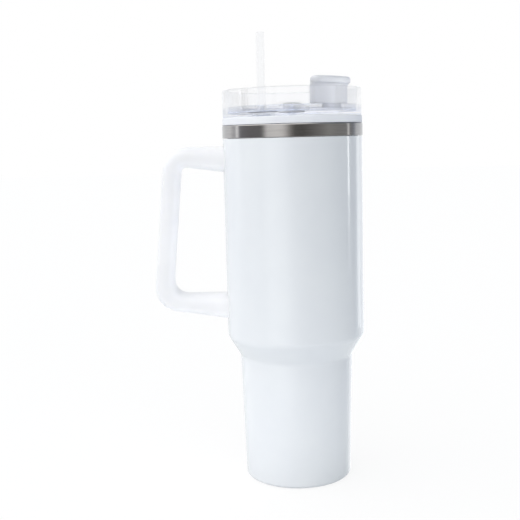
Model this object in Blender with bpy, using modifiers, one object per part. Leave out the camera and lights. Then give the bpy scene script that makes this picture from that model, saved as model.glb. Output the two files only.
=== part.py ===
"""Insulated tumbler with a handle, a clear press-in lid with a turning cover, and a drinking straw.

Frame: origin at the centre of the base, +Z up, the handle towards -X. Dimensions are millimetres,
angles are degrees from +X. Profiles are lists of (radius, z) that run down their outer side.
Pieces: a double-walled steel cup, a handle on two welded brackets with screws, and a lid
that carries the turning cover and the straw.
"""

import math

import bmesh
import bpy
from mathutils import Vector

MM = 0.001

# ---- cup ----
BODY_R = 50.2  # upper body
NECK_R = 41.25  # where the shoulder meets the cup-holder section
FOOT_R = 39.0  # widest radius at the base
SHOULDER_TOP_Z, SHOULDER_BOTTOM_Z = 105.5, 91.5
STRAIGHT_Z = 180.0  # a station on the straight part of both walls
SHELL_TOP_Z = 249.8
SHELL_WALL, LINER_WALL, PLATE_WALL = 0.6, 0.5, 0.6
FIT = 0.3  # gap between neighbouring solids
BAND_R, BAND_BOTTOM_Z, BAND_TOP_Z = 50.35, SHELL_TOP_Z + FIT, 259.0
BAND_LIP_R = 47.2  # inner edge of the band's lip
BAND_WALL, BAND_LIP_THICKNESS = 0.6, 0.8
LINER_R = 46.3  # inside radius at the mouth
FLOOR_Z = 7.2  # top of the cup's floor

# ---- lid and turning cover ----
GASKET_R, GASKET_Z0, GASKET_Z1 = 49.6, 259.4, 264.2
SKIRT_R, WIPER_R, SKIRT_BOTTOM_Z = 45.2, 45.9, 251.6
LID_R, LID_Z0, LID_TOP_Z = 49.7, GASKET_Z1 + FIT, 283.8
LID_STEP_R = 48.7  # foot below the rim wall's rounded bottom edge
PLUG_R, PLUG_INNER_R, PLUG_BOTTOM_Z = 44.3, 42.0, 250.0
LID_FLOOR_Z0, LID_FLOOR_Z1 = 264.6, 267.1
COVER_R, COVER_BORE_R, COVER_Z0, COVER_Z1 = 45.6, 6.3, 268.9, 271.9
POST_R, POST_TOP_Z, BORE_R = 5.9, 271.7, 2.9
UNDER_COVER_Z0, UNDER_COVER_Z1 = LID_FLOOR_Z1 + FIT, COVER_Z0 - FIT  # washer and sip pad
LID_CUT_Z = (260.0, 270.0)  # heights of cutters that pass through the lid's floor
COVER_CUT_Z = (265.0, 275.0)  # heights of cutters that pass through the cover

PORT_RING_R = 30.3  # circle on which the straw port and the sip opening lie
STRAW_ANGLE, SIP_ANGLE, VENT_ANGLE, TAB_ANGLE = 135.0, 225.0, 194.0, -44.5
STRAW_R, STRAW_BORE_R, STRAW_Z0, STRAW_Z1 = 3.25, 2.5, 12.0, 327.0
PORT_R, VENT_R = 5.0, 1.2
SEAT_R, SEAT_DEPTH = 6.6, 1.2  # recess round the straw port
GROMMET_R, GROMMET_WAIST_R, GROMMET_BORE_R = 6.2, 4.7, 3.6
GROMMET_BOTTOM_Z = 262.9
SIP_SPAN, SIP_HALF = 8, 5.5  # spans are degrees each side of a slot's middle
PAD_SPAN, PAD_HALF = 10, 6.8
NUB_R, NUB_HOLE_R = 1.5, 1.9
WINDOW_ENDS, WINDOW_HALF = (75.0, 173.0), 6.5  # slot in the cover

# ---- grip tab ----
TAB_RING_R, TAB_PLATE_RING_R = 38.0, 39.0
TAB_WALL_SPAN, TAB_PLATE_SPAN, TENON_SPAN = 24.1, 20.8, 12
TAB_WALL_HALF, TAB_PLATE_HALF, TENON_HALF, TENON_SLOT_HALF = 3.0, 5.0, 1.4, 1.8
TAB_PLATE_Z = (286.2, 290.9)
TAB_WALL_Z = (COVER_Z1 + FIT, 288.0)
TENON_Z = (269.4, 274.0)

BIG, MID, SMALL = 48, 32, 20  # sides of turned pieces

# ---- start from an empty scene ----
for old in list(bpy.data.objects):
    bpy.data.objects.remove(old, do_unlink=True)

parts = bpy.data.collections.new("insulated_tumbler")
cutters = bpy.data.collections.new("cutters")
for collection in (parts, cutters):
    bpy.context.scene.collection.children.link(collection)
cutters.hide_render = True


# ---- materials ----
def make_material(name, colour, roughness, metallic=0.0, transmission=0.0):
    made = bpy.data.materials.new(name)
    made.use_nodes = True
    inputs = made.node_tree.nodes["Principled BSDF"].inputs
    inputs["Base Color"].default_value = (*colour, 1.0)
    inputs["Roughness"].default_value = roughness
    inputs["Metallic"].default_value = metallic
    inputs["Transmission Weight"].default_value = transmission
    return made


COAT = make_material("white_coat", colour=(0.82, 0.85, 0.88), roughness=0.22)
BRUSHED = make_material("brushed_steel", colour=(0.42, 0.41, 0.40), roughness=0.30, metallic=1.0)
STEEL = make_material("plain_steel", colour=(0.55, 0.55, 0.55), roughness=0.35, metallic=1.0)
HANDLE_WHITE = make_material("handle_white", colour=(0.86, 0.87, 0.90), roughness=0.38)
CLEAR = make_material(
    "clear_plastic", colour=(0.95, 0.96, 1.0), roughness=0.04, transmission=1.0
)
TAB_GREY = make_material("frosted_tab", colour=(0.72, 0.73, 0.78), roughness=0.35)
SILICONE = make_material("white_silicone", colour=(0.80, 0.82, 0.86), roughness=0.55)
GETTER = make_material("getter_alloy", colour=(0.35, 0.35, 0.36), roughness=0.6, metallic=1.0)
SOLDER = make_material("seal_bead", colour=(0.60, 0.60, 0.62), roughness=0.3, metallic=1.0)


# ---- paths and outlines ----
def bend(start, corner, end, steps):
    """Points along a rounded corner, from start to end."""
    points = []
    for i in range(steps + 1):
        t = i / steps
        points.append(
            tuple(
                (1 - t) ** 2 * p + 2 * t * (1 - t) * c + t * t * q
                for p, c, q in zip(start, corner, end)
            )
        )
    return points


def offset(path, distance):
    """The path moved to its right-hand side: one that runs down an outer face moves inwards."""
    normals = []
    for start, end in zip(path, path[1:]):
        length = math.hypot(end[0] - start[0], end[1] - start[1])
        normals.append(((end[1] - start[1]) / length, -(end[0] - start[0]) / length))
    moved = []
    for i, (radius, z) in enumerate(path):
        beside = normals[max(i - 1, 0) : i + 1]
        normal_r = sum(n[0] for n in beside) / len(beside)
        normal_z = sum(n[1] for n in beside) / len(beside)
        square = normal_r * normal_r + normal_z * normal_z
        moved.append((radius + distance * normal_r / square, z + distance * normal_z / square))
    return moved


def polar(radius, degrees):
    angle = math.radians(degrees)
    return radius * math.cos(angle), radius * math.sin(angle)


def around(angle, span):
    return angle - span, angle + span


def arc_slot(ring_r, ends, half_width, every=7.0, cap_steps=6):
    """Outline of a slot with round ends whose centre line follows a circle between two angles."""
    first, last = ends
    steps = max(2, round((last - first) / every))

    def side(radius, start, end):
        return [polar(radius, start + (end - start) * i / steps) for i in range(steps + 1)]

    def round_end(angle, turn):
        x, y = polar(ring_r, angle)
        arc = [polar(half_width, turn + 180.0 * i / cap_steps) for i in range(1, cap_steps)]
        return [(x + dx, y + dy) for dx, dy in arc]

    return (
        side(ring_r + half_width, first, last)
        + round_end(last, last)
        + side(ring_r - half_width, last, first)
        + round_end(first, first + 180.0)
    )


STRAW_AT = polar(PORT_RING_R, STRAW_ANGLE)
SIP_AT = polar(PORT_RING_R, SIP_ANGLE)


# ---- solids: one without a material is a hidden helper ----
def put(name, mesh, material=None):
    made = bpy.data.objects.new(name, mesh)
    if material is None:
        cutters.objects.link(made)
        made.hide_render = True
        made.display_type = "WIRE"
    else:
        parts.objects.link(made)
        mesh.materials.append(material)
    return made


def fill_mesh(mesh, shape):
    """Write the bmesh into the mesh with its faces outwards, and free it."""
    bmesh.ops.recalc_face_normals(shape, faces=shape.faces)
    shape.to_mesh(mesh)
    shape.free()
    return mesh


def turned(name, profile, material, steps=BIG, at=(0.0, 0.0)):
    """A profile turned about a vertical axis. One that starts on the axis is left open."""
    mesh = bpy.data.meshes.new(name)
    edges = [(i, i + 1) for i in range(len(profile) - 1)]
    if profile[0][0] > 0.0:
        edges.append((len(profile) - 1, 0))
    mesh.from_pydata([(radius * MM, 0.0, z * MM) for radius, z in profile], edges, [])
    made = put(name, mesh, material)
    made.location = (at[0] * MM, at[1] * MM, 0.0)
    screw = made.modifiers.new("Screw", "SCREW")
    screw.axis = "Z"
    screw.angle = math.tau
    screw.steps = steps
    screw.render_steps = steps
    screw.use_merge_vertices = True
    screw.merge_threshold = 0.000001
    screw.use_smooth_shade = True
    return made


def cylinder(name, radius, z0, z1, at=(0.0, 0.0), material=None, sides=SMALL):
    shape = bmesh.new()
    bmesh.ops.create_cone(
        shape,
        cap_ends=True,
        cap_tris=False,
        segments=sides,
        radius1=radius * MM,
        radius2=radius * MM,
        depth=(z1 - z0) * MM,
    )
    bmesh.ops.translate(shape, verts=shape.verts, vec=Vector((0, 0, (z0 + z1) / 2 * MM)))
    made = put(name, fill_mesh(bpy.data.meshes.new(name), shape), material)
    made.location = (at[0] * MM, at[1] * MM, 0.0)
    return made


def block(name, low, high, material=None):
    shape = bmesh.new()
    bmesh.ops.create_cube(shape, size=1.0)
    for v in shape.verts:
        v.co = Vector([(lo + (c + 0.5) * (hi - lo)) * MM for c, lo, hi in zip(v.co, low, high)])
    return put(name, fill_mesh(bpy.data.meshes.new(name), shape), material)


def outline_solid(name, outline, z0, z1, material=None):
    """A flat outline, as a filled 2D curve with an extrude, made a mesh."""
    curve = bpy.data.curves.new(name, "CURVE")
    curve.dimensions = "2D"
    curve.fill_mode = "BOTH"
    curve.extrude = (z1 - z0) / 2 * MM
    spline = curve.splines.new("POLY")
    spline.points.add(len(outline) - 1)
    for point, (x, y) in zip(spline.points, outline):
        point.co = (x * MM, y * MM, 0.0, 1.0)
    spline.use_cyclic_u = True
    drawn = bpy.data.objects.new(name + "_curve", curve)
    bpy.context.scene.collection.objects.link(drawn)
    drawn.location = (0.0, 0.0, (z0 + z1) / 2 * MM)
    bpy.context.view_layer.update()
    graph = bpy.context.evaluated_depsgraph_get()
    mesh = bpy.data.meshes.new_from_object(drawn.evaluated_get(graph))
    mesh.transform(drawn.matrix_world)
    bpy.data.objects.remove(drawn, do_unlink=True)
    # the curve's caps and sides come unjoined
    shape = bmesh.new()
    shape.from_mesh(mesh)
    bmesh.ops.remove_doubles(shape, verts=shape.verts, dist=0.0000005)
    fill_mesh(mesh, shape)
    mesh.name = name
    return put(name, mesh, material)


def boolean(made, other, operation="DIFFERENCE"):
    step = made.modifiers.new(operation.title() + "_" + other.name, "BOOLEAN")
    step.operation = operation
    step.solver = "EXACT"
    step.object = other


def bevel(made, width, angle=30.0):
    step = made.modifiers.new("Bevel", "BEVEL")
    step.width = width * MM
    step.segments = 2
    step.limit_method = "ANGLE"
    step.angle_limit = math.radians(angle)


# ---- cup ----
def build_outer_shell():
    outer = [
        (BODY_R, SHELL_TOP_Z),
        (BODY_R, STRAIGHT_Z),
        *bend((BODY_R, SHOULDER_TOP_Z + 4.0), (BODY_R + 0.05, SHOULDER_TOP_Z), (48.2, 102.4), 3),
        *bend((43.1, 94.2), (NECK_R, SHOULDER_BOTTOM_Z), (NECK_R - 0.05, 88.0), 3),
        *bend((FOOT_R, 4.2), (FOOT_R - 0.1, 0.0), (FOOT_R - 3.2, 0.0), 3),
        (30.6, 0.0),
    ]
    turned("outer_shell", outer + offset(outer, SHELL_WALL)[::-1], COAT)


def build_rim_band():
    """Bare band, an inverted L in section whose lip reaches in towards the liner."""
    inner_r, lip_bottom_z = BAND_R - BAND_WALL, BAND_TOP_Z - BAND_LIP_THICKNESS
    profile = [
        (BAND_LIP_R, BAND_TOP_Z), (49.6, BAND_TOP_Z),
        (50.15, BAND_TOP_Z - 0.2), (BAND_R, BAND_TOP_Z - 0.75),
        (BAND_R, BAND_BOTTOM_Z), (inner_r, BAND_BOTTOM_Z),
        (inner_r, lip_bottom_z), (BAND_LIP_R, lip_bottom_z),
    ]
    turned("rim_band", profile, BRUSHED)


def build_liner():
    """Inner wall and floor, open at the top."""
    shoulder_z = SHOULDER_TOP_Z + 3.0
    inner = [
        (LINER_R, BAND_TOP_Z),
        (LINER_R, STRAIGHT_Z),
        *bend((LINER_R, shoulder_z + 4.0), (LINER_R, shoulder_z), (44.4, 105.4), 2),
        *bend((38.8, 97.2), (37.1, 94.5), (36.95, 91.0), 2),
        *bend((34.9, 12.5), (34.8, FLOOR_Z), (30.0, FLOOR_Z), 3),
        (0.0, FLOOR_Z),
    ]
    outer = offset(inner, -LINER_WALL)
    outer[-1] = (0.0, FLOOR_Z - LINER_WALL)  # keep the end exactly on the axis
    turned("inner_liner", inner[::-1] + outer, STEEL)


def build_base():
    """Base plate with its vacuum port, seal bead, getter and base cover."""
    port_r, plate_r, middle_z, edge_z = 2.4, 33.5, 2.8, 2.0  # heights of the plate's top face
    plate = [
        (port_r, middle_z), (24.0, middle_z), (26.0, edge_z), (plate_r, edge_z),
        (plate_r, edge_z - PLATE_WALL), (25.6, edge_z - PLATE_WALL),
        (23.6, middle_z - PLATE_WALL), (port_r, middle_z - PLATE_WALL),
    ]
    turned("base_plate", plate, STEEL, steps=MID)
    bead = [(0.0, 3.3), (1.3, 3.15), (2.0, 2.6), (1.3, 1.95), (0.0, 1.8)]
    turned("vacuum_seal_bead", bead, SOLDER, steps=16)
    cylinder("getter", radius=5.0, z0=3.2, z1=4.7, at=(13.0, 0.0), material=GETTER)
    cover = cylinder("base_cover", radius=29.9, z0=0.0, z1=1.0, material=STEEL, sides=BIG)
    bevel(cover, 0.35)


# ---- handle: side-view points are (x, z) ----
HANDLE_HALF_WIDTH = 12.0
HANDLE_END_X = -44.0
# arm root z at the top, upper corner, lower corner, arm root z at the bottom,
# then how far each corner's rounding reaches along its sides
HANDLE_OUTSIDE = (244.6, (-92.6, 244.6), (-103.9, 127.9), 118.2, 18.0, 18.5)
HANDLE_INSIDE = (225.2, (-80.5, 230.4), (-89.5, 137.6), 137.6, 4.5, 13.0)
CORNER_STEPS, GRIP_STEPS = 6, 4
HANDLE_SIDES, HANDLE_SQUARE = 20, 2.9  # points round a section, and how square it is

POCKETS = (("upper", 230.6, 240.6), ("lower", 124.0, 134.0))  # name, bottom z, top z
POCKET_X, POCKET_HALF = -61.0, 5.6  # end face towards the grip, and half the width
BRACKET_GAP = 0.4  # bracket to pocket
WELD_R, HANDLE_SEAT_R = BODY_R + 0.4, BODY_R + 0.45  # cylinders cut from bracket and handle
SCREW_AT = (-56.0, 0.0)
HEAD_R, SHANK_R = 3.0, 1.6
HEAD_HOLE_R, SHANK_HOLE_R, TAP_R = 3.4, 2.0, 1.9


def toward(start, end, distance):
    length = math.dist(start, end)
    return tuple(p + (q - p) * distance / length for p, q in zip(start, end))


def handle_outline(start_z, upper, lower, end_z, upper_round, lower_round):
    """Points from the upper arm's root, round both corners, to the lower arm's root."""
    start, end = (HANDLE_END_X, start_z), (HANDLE_END_X, end_z)
    first = bend(
        toward(upper, start, upper_round), upper, toward(upper, lower, upper_round), CORNER_STEPS
    )
    second = bend(
        toward(lower, upper, lower_round), lower, toward(lower, end, lower_round), CORNER_STEPS
    )
    grip = [
        tuple(p + (q - p) * i / GRIP_STEPS for p, q in zip(first[-1], second[0]))
        for i in range(1, GRIP_STEPS)
    ]
    return [start] + first + grip + second + [end]


def squared(value):
    """A sine or cosine reshaped so that a circle becomes a rounded square."""
    return math.copysign(abs(value) ** (2 / HANDLE_SQUARE), value)


def handle_mesh():
    """A loft of rounded sections that span the outside and inside outlines."""
    shape = bmesh.new()
    rings = []
    for outer, inner in zip(handle_outline(*HANDLE_OUTSIDE), handle_outline(*HANDLE_INSIDE)):
        middle = Vector(((outer[0] + inner[0]) / 2, 0.0, (outer[1] + inner[1]) / 2))
        reach = Vector((outer[0] - inner[0], 0.0, outer[1] - inner[1])) / 2
        ring = []
        for i in range(HANDLE_SIDES):
            angle = math.tau * i / HANDLE_SIDES
            sideways = Vector((0, HANDLE_HALF_WIDTH * squared(math.sin(angle)), 0))
            point = middle + reach * squared(math.cos(angle)) + sideways
            ring.append(shape.verts.new(point * MM))
        rings.append(ring)
    for ring, following in zip(rings, rings[1:]):
        for i in range(HANDLE_SIDES):
            j = (i + 1) % HANDLE_SIDES
            shape.faces.new((ring[i], ring[j], following[j], following[i]))
    shape.faces.new(rings[0])
    shape.faces.new(rings[-1])
    mesh = fill_mesh(bpy.data.meshes.new("handle"), shape)
    mesh.shade_smooth()
    return mesh


def cut_fixing(handle, where, low, high):
    """A pocket for the bracket and a stepped screw hole that opens under the arm."""
    pocket = block(
        "cut_pocket_" + where, (POCKET_X, -POCKET_HALF, low), (-40.0, POCKET_HALF, high)
    )
    boolean(handle, pocket)
    head = cylinder("cut_head_" + where, HEAD_HOLE_R, low - 11.5, low - 1.6, SCREW_AT)
    boolean(handle, head)
    shank = cylinder("cut_shank_" + where, SHANK_HOLE_R, low - 3.0, low + 1.0, SCREW_AT)
    boolean(handle, shank)


def build_bracket(where, low, high):
    """A block welded to the shell, tapped for the screw."""
    half = POCKET_HALF - BRACKET_GAP
    bracket = block(
        "handle_bracket_" + where,
        (POCKET_X + BRACKET_GAP, -half, low + BRACKET_GAP),
        (-46.0, half, high - BRACKET_GAP),
        STEEL,
    )
    boolean(bracket, cylinder("cut_weld_" + where, WELD_R, low - 10.0, high + 10.0, sides=BIG))
    boolean(bracket, cylinder("cut_tap_" + where, TAP_R, low - 2.0, high - 1.6, SCREW_AT))


def build_screw(where, low, high):
    """Pan head and shank, driven upwards from under the arm."""
    tip_z, head_top_z = high - 2.2, low - 1.9
    profile = [
        (0.0, tip_z), (1.3, tip_z), (SHANK_R, high - 2.8), (SHANK_R, head_top_z),
        (HEAD_R, head_top_z), (HEAD_R, low - 3.0), (2.6, low - 3.7), (0.0, low - 3.9),
    ]
    turned("handle_screw_" + where, profile, STEEL, steps=SMALL, at=SCREW_AT)


def build_handle():
    handle = put("handle", handle_mesh(), HANDLE_WHITE)
    boolean(handle, cylinder("cut_body", HANDLE_SEAT_R, 100.0, 260.0, sides=BIG))
    for where, low, high in POCKETS:
        cut_fixing(handle, where, low, high)
        build_bracket(where, low, high)
        build_screw(where, low, high)


# ---- lid ----
def build_lid_base():
    """Clear base with rim wall, plug, floor and hub post."""
    profile = [
        (47.9, LID_TOP_Z),
        *bend((48.6, LID_TOP_Z), (LID_R, LID_TOP_Z), (LID_R, LID_TOP_Z - 1.3), 3),
        *bend((LID_R, 267.6), (LID_R, 266.6), (LID_STEP_R, 266.6), 2),
        # plug
        (LID_STEP_R, LID_Z0), (PLUG_R, LID_Z0),
        (PLUG_R, PLUG_BOTTOM_Z + 0.6), (PLUG_R - 0.5, PLUG_BOTTOM_Z),
        (PLUG_INNER_R + 0.4, PLUG_BOTTOM_Z), (PLUG_INNER_R, PLUG_BOTTOM_Z + 0.5),
        (PLUG_INNER_R, 263.2), (40.8, LID_FLOOR_Z0),
        # hub post
        (BORE_R, LID_FLOOR_Z0), (BORE_R, POST_TOP_Z), (POST_R - 0.4, POST_TOP_Z),
        (POST_R, POST_TOP_Z - 0.4), (POST_R, LID_FLOOR_Z1),
        # inside of the rim wall
        *bend((44.6, LID_FLOOR_Z1), (46.0, LID_FLOOR_Z1), (46.1, 268.6), 3),
        (46.9, 282.9), (47.2, 283.5),
    ]
    lid = turned("lid_base", profile, CLEAR)
    boolean(lid, cylinder("cut_straw_port", PORT_R, *LID_CUT_Z, STRAW_AT, sides=MID))
    seat_z = (LID_FLOOR_Z1 - SEAT_DEPTH, LID_CUT_Z[1])
    boolean(lid, cylinder("cut_straw_seat", SEAT_R, *seat_z, STRAW_AT, sides=MID))
    sip = arc_slot(PORT_RING_R, around(SIP_ANGLE, SIP_SPAN), SIP_HALF)
    boolean(lid, outline_solid("cut_sip", sip, *LID_CUT_Z))
    vent_at = polar(PORT_RING_R, VENT_ANGLE)
    boolean(lid, cylinder("cut_vent", VENT_R, *LID_CUT_Z, vent_at, sides=12))


def build_gasket():
    """A flange on the cup's lip and a skirt with two wiper lips in its mouth."""
    inner_r = PLUG_R + FIT
    profile = [
        *bend((48.4, GASKET_Z1), (GASKET_R, GASKET_Z1), (GASKET_R, GASKET_Z1 - 1.1), 3),
        *bend((GASKET_R, GASKET_Z0 + 0.9), (GASKET_R, GASKET_Z0), (48.8, GASKET_Z0), 2),
        (45.8, GASKET_Z0), (SKIRT_R, GASKET_Z0 - 0.4),
        (SKIRT_R, 258.6), (WIPER_R, 258.1), (SKIRT_R, 257.5),
        (SKIRT_R, 255.3), (WIPER_R, 254.7), (SKIRT_R, 254.1),
        (SKIRT_R, SKIRT_BOTTOM_Z), (inner_r, SKIRT_BOTTOM_Z), (inner_r, GASKET_Z1),
    ]
    turned("lid_gasket", profile, SILICONE)


def build_grommet():
    """A spool held in the lid's floor, round the straw."""
    groove_top_z, groove_bottom_z = LID_FLOOR_Z1 - 0.9, LID_FLOOR_Z0 - FIT
    profile = [
        (GROMMET_R, LID_FLOOR_Z1), (GROMMET_R, groove_top_z),
        (GROMMET_WAIST_R, groove_top_z), (GROMMET_WAIST_R, groove_bottom_z),
        (GROMMET_R, groove_bottom_z), (6.0, GROMMET_BOTTOM_Z),
        (GROMMET_BORE_R, GROMMET_BOTTOM_Z), (GROMMET_BORE_R, LID_FLOOR_Z1 - 0.3),
        (4.0, LID_FLOOR_Z1),
    ]
    turned("straw_grommet", profile, SILICONE, steps=24, at=STRAW_AT)


def build_pivot():
    """Washer under the cover, and the cap whose barbed stem goes down the hub's bore."""
    outer_r, inner_r = 9.4, 6.2
    washer = [
        (outer_r, UNDER_COVER_Z1), (outer_r, UNDER_COVER_Z0),
        (inner_r, UNDER_COVER_Z0), (inner_r, UNDER_COVER_Z1),
    ]
    turned("hub_washer", washer, SILICONE, steps=MID)
    stem_r, cap_bottom_z, stem_bottom_z = BORE_R - FIT, 272.3, 262.6
    cap = [
        *bend((0.0, 274.6), (7.0, 274.5), (9.0, 272.9), 4),
        (8.8, cap_bottom_z), (stem_r, cap_bottom_z), (stem_r, 264.3),
        (3.4, 264.2), (2.4, stem_bottom_z), (0.0, stem_bottom_z),
    ]
    turned("pivot_cap", cap, CLEAR, steps=MID)


# ---- turning cover ----
def build_cover():
    profile = [
        (COVER_BORE_R, COVER_Z1), (COVER_R - 0.6, COVER_Z1), (COVER_R, COVER_Z1 - 0.6),
        (COVER_R, COVER_Z0 + 0.5), (COVER_R - 0.5, COVER_Z0), (COVER_BORE_R, COVER_Z0),
    ]
    cover = turned("rotating_cover", profile, CLEAR)
    window = arc_slot(PORT_RING_R, WINDOW_ENDS, WINDOW_HALF)
    boolean(cover, outline_solid("cut_window", window, *COVER_CUT_Z))
    slot = arc_slot(TAB_RING_R, around(TAB_ANGLE, TENON_SPAN), TENON_SLOT_HALF, cap_steps=4)
    boolean(cover, outline_solid("cut_tenon", slot, *COVER_CUT_Z))
    boolean(cover, cylinder("cut_seal_nub", NUB_HOLE_R, *COVER_CUT_Z, SIP_AT, sides=16))


def build_grip_tab():
    """An upright curved wall with an overhanging top, held by a tenon in the cover."""
    plate = arc_slot(
        TAB_PLATE_RING_R, around(TAB_ANGLE, TAB_PLATE_SPAN), TAB_PLATE_HALF, every=5.2, cap_steps=8
    )
    tab = outline_solid("grip_tab", plate, *TAB_PLATE_Z, TAB_GREY)
    bevel(tab, 1.9, angle=60.0)
    wall = arc_slot(TAB_RING_R, around(TAB_ANGLE, TAB_WALL_SPAN), TAB_WALL_HALF, every=6.0)
    boolean(tab, outline_solid("tab_wall", wall, *TAB_WALL_Z), "UNION")
    tenon = arc_slot(TAB_RING_R, around(TAB_ANGLE, TENON_SPAN), TENON_HALF, cap_steps=4)
    boolean(tab, outline_solid("tab_tenon", tenon, *TENON_Z), "UNION")


def build_sip_seal():
    """A pad under the cover with a nub up through it."""
    pad = arc_slot(PORT_RING_R, around(SIP_ANGLE, PAD_SPAN), PAD_HALF)
    seal = outline_solid("sip_seal", pad, UNDER_COVER_Z0, UNDER_COVER_Z1, SILICONE)
    boolean(seal, cylinder("seal_nub", NUB_R, 268.0, 271.6, SIP_AT, sides=16), "UNION")


def build_straw():
    profile = [
        (STRAW_R, STRAW_Z1), (STRAW_R, STRAW_Z0),
        (STRAW_BORE_R, STRAW_Z0), (STRAW_BORE_R, STRAW_Z1),
    ]
    turned("straw", profile, CLEAR, steps=SMALL, at=STRAW_AT)


build_outer_shell()
build_rim_band()
build_liner()
build_base()
build_handle()
build_lid_base()
build_gasket()
build_grommet()
build_pivot()
build_cover()
build_grip_tab()
build_sip_seal()
build_straw()
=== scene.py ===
"""An insulated tumbler: steel cup with a side handle, clear lid with a turning cover, straw.

The cup stands on z = 0 with its axis on Z. The handle reaches towards -X, and the camera
looks along +Y and slightly down, so the handle is on its left. Sizes are in millimetres
up to the mesh helpers, which build in metres; the studio is in metres. The visible CAD
pieces are replaced by finer ones, and the hidden ones only take a material.
"""

import math

import bmesh
import bpy
from mathutils import Matrix, Vector


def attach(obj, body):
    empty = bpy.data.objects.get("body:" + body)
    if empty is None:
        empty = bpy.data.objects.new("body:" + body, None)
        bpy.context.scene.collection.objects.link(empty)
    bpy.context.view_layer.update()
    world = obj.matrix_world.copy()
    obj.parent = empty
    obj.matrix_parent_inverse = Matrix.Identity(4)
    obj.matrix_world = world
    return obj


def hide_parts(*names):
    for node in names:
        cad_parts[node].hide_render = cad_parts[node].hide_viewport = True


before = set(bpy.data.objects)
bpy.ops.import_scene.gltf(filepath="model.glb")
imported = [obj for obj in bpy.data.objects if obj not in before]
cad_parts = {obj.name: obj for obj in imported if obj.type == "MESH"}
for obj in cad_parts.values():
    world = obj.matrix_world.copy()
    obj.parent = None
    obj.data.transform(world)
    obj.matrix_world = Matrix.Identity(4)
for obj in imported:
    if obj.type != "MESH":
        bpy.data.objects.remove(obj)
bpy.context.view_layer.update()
scene = bpy.context.scene

# ---------------------------------------------------------------- dimensions, mm and degrees
MM = 0.001
SEGMENTS, FINE_SEGMENTS, SHELL_SEGMENTS = 160, 224, 384
SHARP_ANGLE = 38.0

BODY_R, NECK_R, FOOT_R = 50.2, 41.25, 39.0
SHELL_TOP_Z, NECK_FOOT_Z, HEEL_Z, SHELL_WALL = 249.8, 86.0, 5.0, 0.6
BAND_R, BAND_BOTTOM_Z, BAND_TOP_Z = 50.35, 250.1, 259.0
LINER_R, LINER_WALL, FLOOR_Z = 46.3, 0.5, 7.2

GASKET_R, GASKET_Z0, GASKET_Z1 = 49.6, 259.4, 264.2
LID_R, LID_Z0, LID_TOP_Z = 49.7, 264.5, 283.8
PLUG_R, PLUG_BOTTOM_Z = 44.3, 250.0
LID_FLOOR_Z0, LID_FLOOR_Z1 = 264.6, 267.1
LID_CUT_Z, COVER_CUT_Z = (260.0, 270.0), (265.0, 275.0)  # heights that cutting tools span

COVER_R, COVER_Z0, COVER_Z1 = 45.6, 268.9, 271.9
PORT_RING_R = 30.3
STRAW_ANGLE, SIP_ANGLE, VENT_ANGLE = 135.0, 225.0, 194.0
PORT_R, SEAT_R, SEAT_DEPTH, VENT_R = 5.0, 6.6, 1.2, 1.2
SIP_HALF, SIP_SPAN = 5.5, 8.0
WINDOW_HALF, WINDOW_ANGLE, WINDOW_SPAN = 6.5, 124.0, 49.0
STRAW_R, STRAW_BORE_R, STRAW_Z0, STRAW_Z1 = 3.25, 2.5, 12.0, 327.0


# ---------------------------------------------------------------- mesh helpers
def polar(radius, degrees):
    return radius * math.cos(math.radians(degrees)), radius * math.sin(math.radians(degrees))


def quarter_turn(steps):
    return [math.pi / 2 * i / steps for i in range(steps + 1)]


def rounded(corners, closed, steps, support):
    """Rounds (r, z, fillet) corners to a fine path, with a support point beside each fillet."""
    path = []
    count = len(corners)
    for i, (r, z, fillet) in enumerate(corners):
        if fillet <= 0 or (not closed and i in (0, count - 1)):
            path.append((r, z))
            continue
        here = Vector((r, z))
        to_before = Vector(corners[i - 1][:2]) - here
        to_after = Vector(corners[(i + 1) % count][:2]) - here
        room = 0.5 * min(to_before.length, to_after.length)
        backward, onward = to_before.normalized(), to_after.normalized()
        turn = math.pi - math.acos(max(-1.0, min(1.0, backward.dot(onward))))
        if turn < 1e-3:
            path.append((r, z))
            continue
        reach = min(fillet * math.tan(turn / 2), room * 0.98)
        start = here + backward * reach
        end = here + onward * reach
        # a cubic curve whose control points make it nearly a circular arc
        pull = 4 / 3 * math.tan(turn / 4) / math.tan(turn / 2)
        control_1, control_2 = start.lerp(here, pull), end.lerp(here, pull)
        extra = min(support, (room - reach) * 0.5)
        if extra > 0.02:
            path.append(tuple(start + backward * extra))
        for s in range(steps + 1):
            t = s / steps
            point = (
                start * (1 - t) ** 3
                + control_1 * 3 * t * (1 - t) ** 2
                + control_2 * 3 * t * t * (1 - t)
                + end * t**3
            )
            path.append((point.x, point.y))
        if extra > 0.02:
            path.append(tuple(end + onward * extra))
    clean = []
    for point in path:
        if not clean or math.dist(point, clean[-1]) > 1e-4:
            clean.append(point)
    if closed and math.dist(clean[0], clean[-1]) <= 1e-4:
        clean.pop()
    return clean


def shade(mesh, sharp=SHARP_ANGLE):
    mesh.shade_smooth()
    mesh.set_sharp_from_angle(angle=math.radians(sharp))


def finished(name, verts, faces):
    """A mesh object from millimetre points, with outward normals."""
    mesh = bpy.data.meshes.new(name)
    mesh.from_pydata([(x * MM, y * MM, z * MM) for x, y, z in verts], [], faces)
    shape = bmesh.new()
    shape.from_mesh(mesh)
    bmesh.ops.recalc_face_normals(shape, faces=shape.faces)
    shape.to_mesh(mesh)
    shape.free()
    shade(mesh)
    made = bpy.data.objects.new(name, mesh)
    scene.collection.objects.link(made)
    return made


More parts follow.
